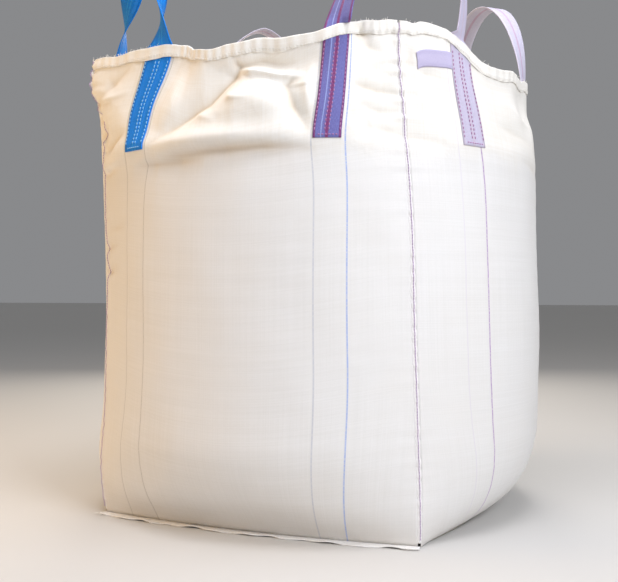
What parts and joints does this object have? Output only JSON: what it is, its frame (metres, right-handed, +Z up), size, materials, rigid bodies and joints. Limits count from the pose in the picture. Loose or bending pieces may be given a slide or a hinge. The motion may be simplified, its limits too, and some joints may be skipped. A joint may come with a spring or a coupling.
{
  "type": "bulk bag",
  "caption": "Open woven bulk bag, full, standing square based and round bellied, with a webbing lift loop across each corner.",
  "frame": {"origin": "middle of the base, where the bag stands", "axes": "+Z up, -Y out of the front side panel, +X out of the right side of the U-panel"},
  "size_m": [1.3088, 1.3088, 1.6048],
  "materials": {
    "woven_fabric": "satin",
    "seam_fabric": "matte",
    "blue_webbing": "satin",
    "violet_webbing": "satin",
    "pale_webbing": "satin",
    "granulate": "matte"
  },
  "bodies": {
    "bag": {"side_panel_front": "woven_fabric", "base_seam_front": "seam_fabric", "side_panel_back": "woven_fabric", "base_seam_back": "seam_fabric", "u_panel": "woven_fabric", "top_hem_front": "woven_fabric", "top_hem_right": "woven_fabric", "top_hem_back": "woven_fabric", "top_hem_left": "woven_fabric", "corner_seam_front_right": "seam_fabric", "sewn_leg_front_right_front": "violet_webbing", "sewn_leg_front_right_right": "pale_webbing", "corner_seam_back_right": "seam_fabric", "sewn_leg_back_right_right": "pale_webbing", "sewn_leg_back_right_back": "pale_webbing", "corner_seam_back_left": "seam_fabric", "sewn_leg_back_left_back": "pale_webbing", "sewn_leg_back_left_left": "pale_webbing", "corner_seam_front_left": "seam_fabric", "sewn_leg_front_left_left": "blue_webbing", "sewn_leg_front_left_front": "blue_webbing", "cross_band": "pale_webbing", "contents": "granulate"},
    "loop_front_right": {"lift_loop_front_right": "violet_webbing"},
    "loop_back_right": {"lift_loop_back_right": "pale_webbing"},
    "loop_back_left": {"lift_loop_back_left": "pale_webbing"},
    "loop_front_left": {"lift_loop_front_left": "blue_webbing"}
  },
  "joints": [
    {"name": "loop_front_right_fold", "type": "hinge", "parent": "bag", "child": "loop_front_right", "pos_m": [0.43498, -0.43498, 1.28568], "axis": [0.7071, 0.7071, 0], "range_deg": [-95, 100], "stiffness_Nm_per_rad": 0.6},
    {"name": "loop_back_right_fold", "type": "hinge", "parent": "bag", "child": "loop_back_right", "pos_m": [0.43498, 0.43498, 1.28568], "axis": [-0.7071, 0.7071, 0], "range_deg": [-95, 100], "stiffness_Nm_per_rad": 0.6},
    {"name": "loop_back_left_fold", "type": "hinge", "parent": "bag", "child": "loop_back_left", "pos_m": [-0.43498, 0.43498, 1.28568], "axis": [-0.7071, -0.7071, 0], "range_deg": [-95, 100], "stiffness_Nm_per_rad": 0.6},
    {"name": "loop_front_left_fold", "type": "hinge", "parent": "bag", "child": "loop_front_left", "pos_m": [-0.43498, -0.43498, 1.28568], "axis": [0.7071, -0.7071, 0], "range_deg": [-95, 100], "stiffness_Nm_per_rad": 0.6}
  ]
}
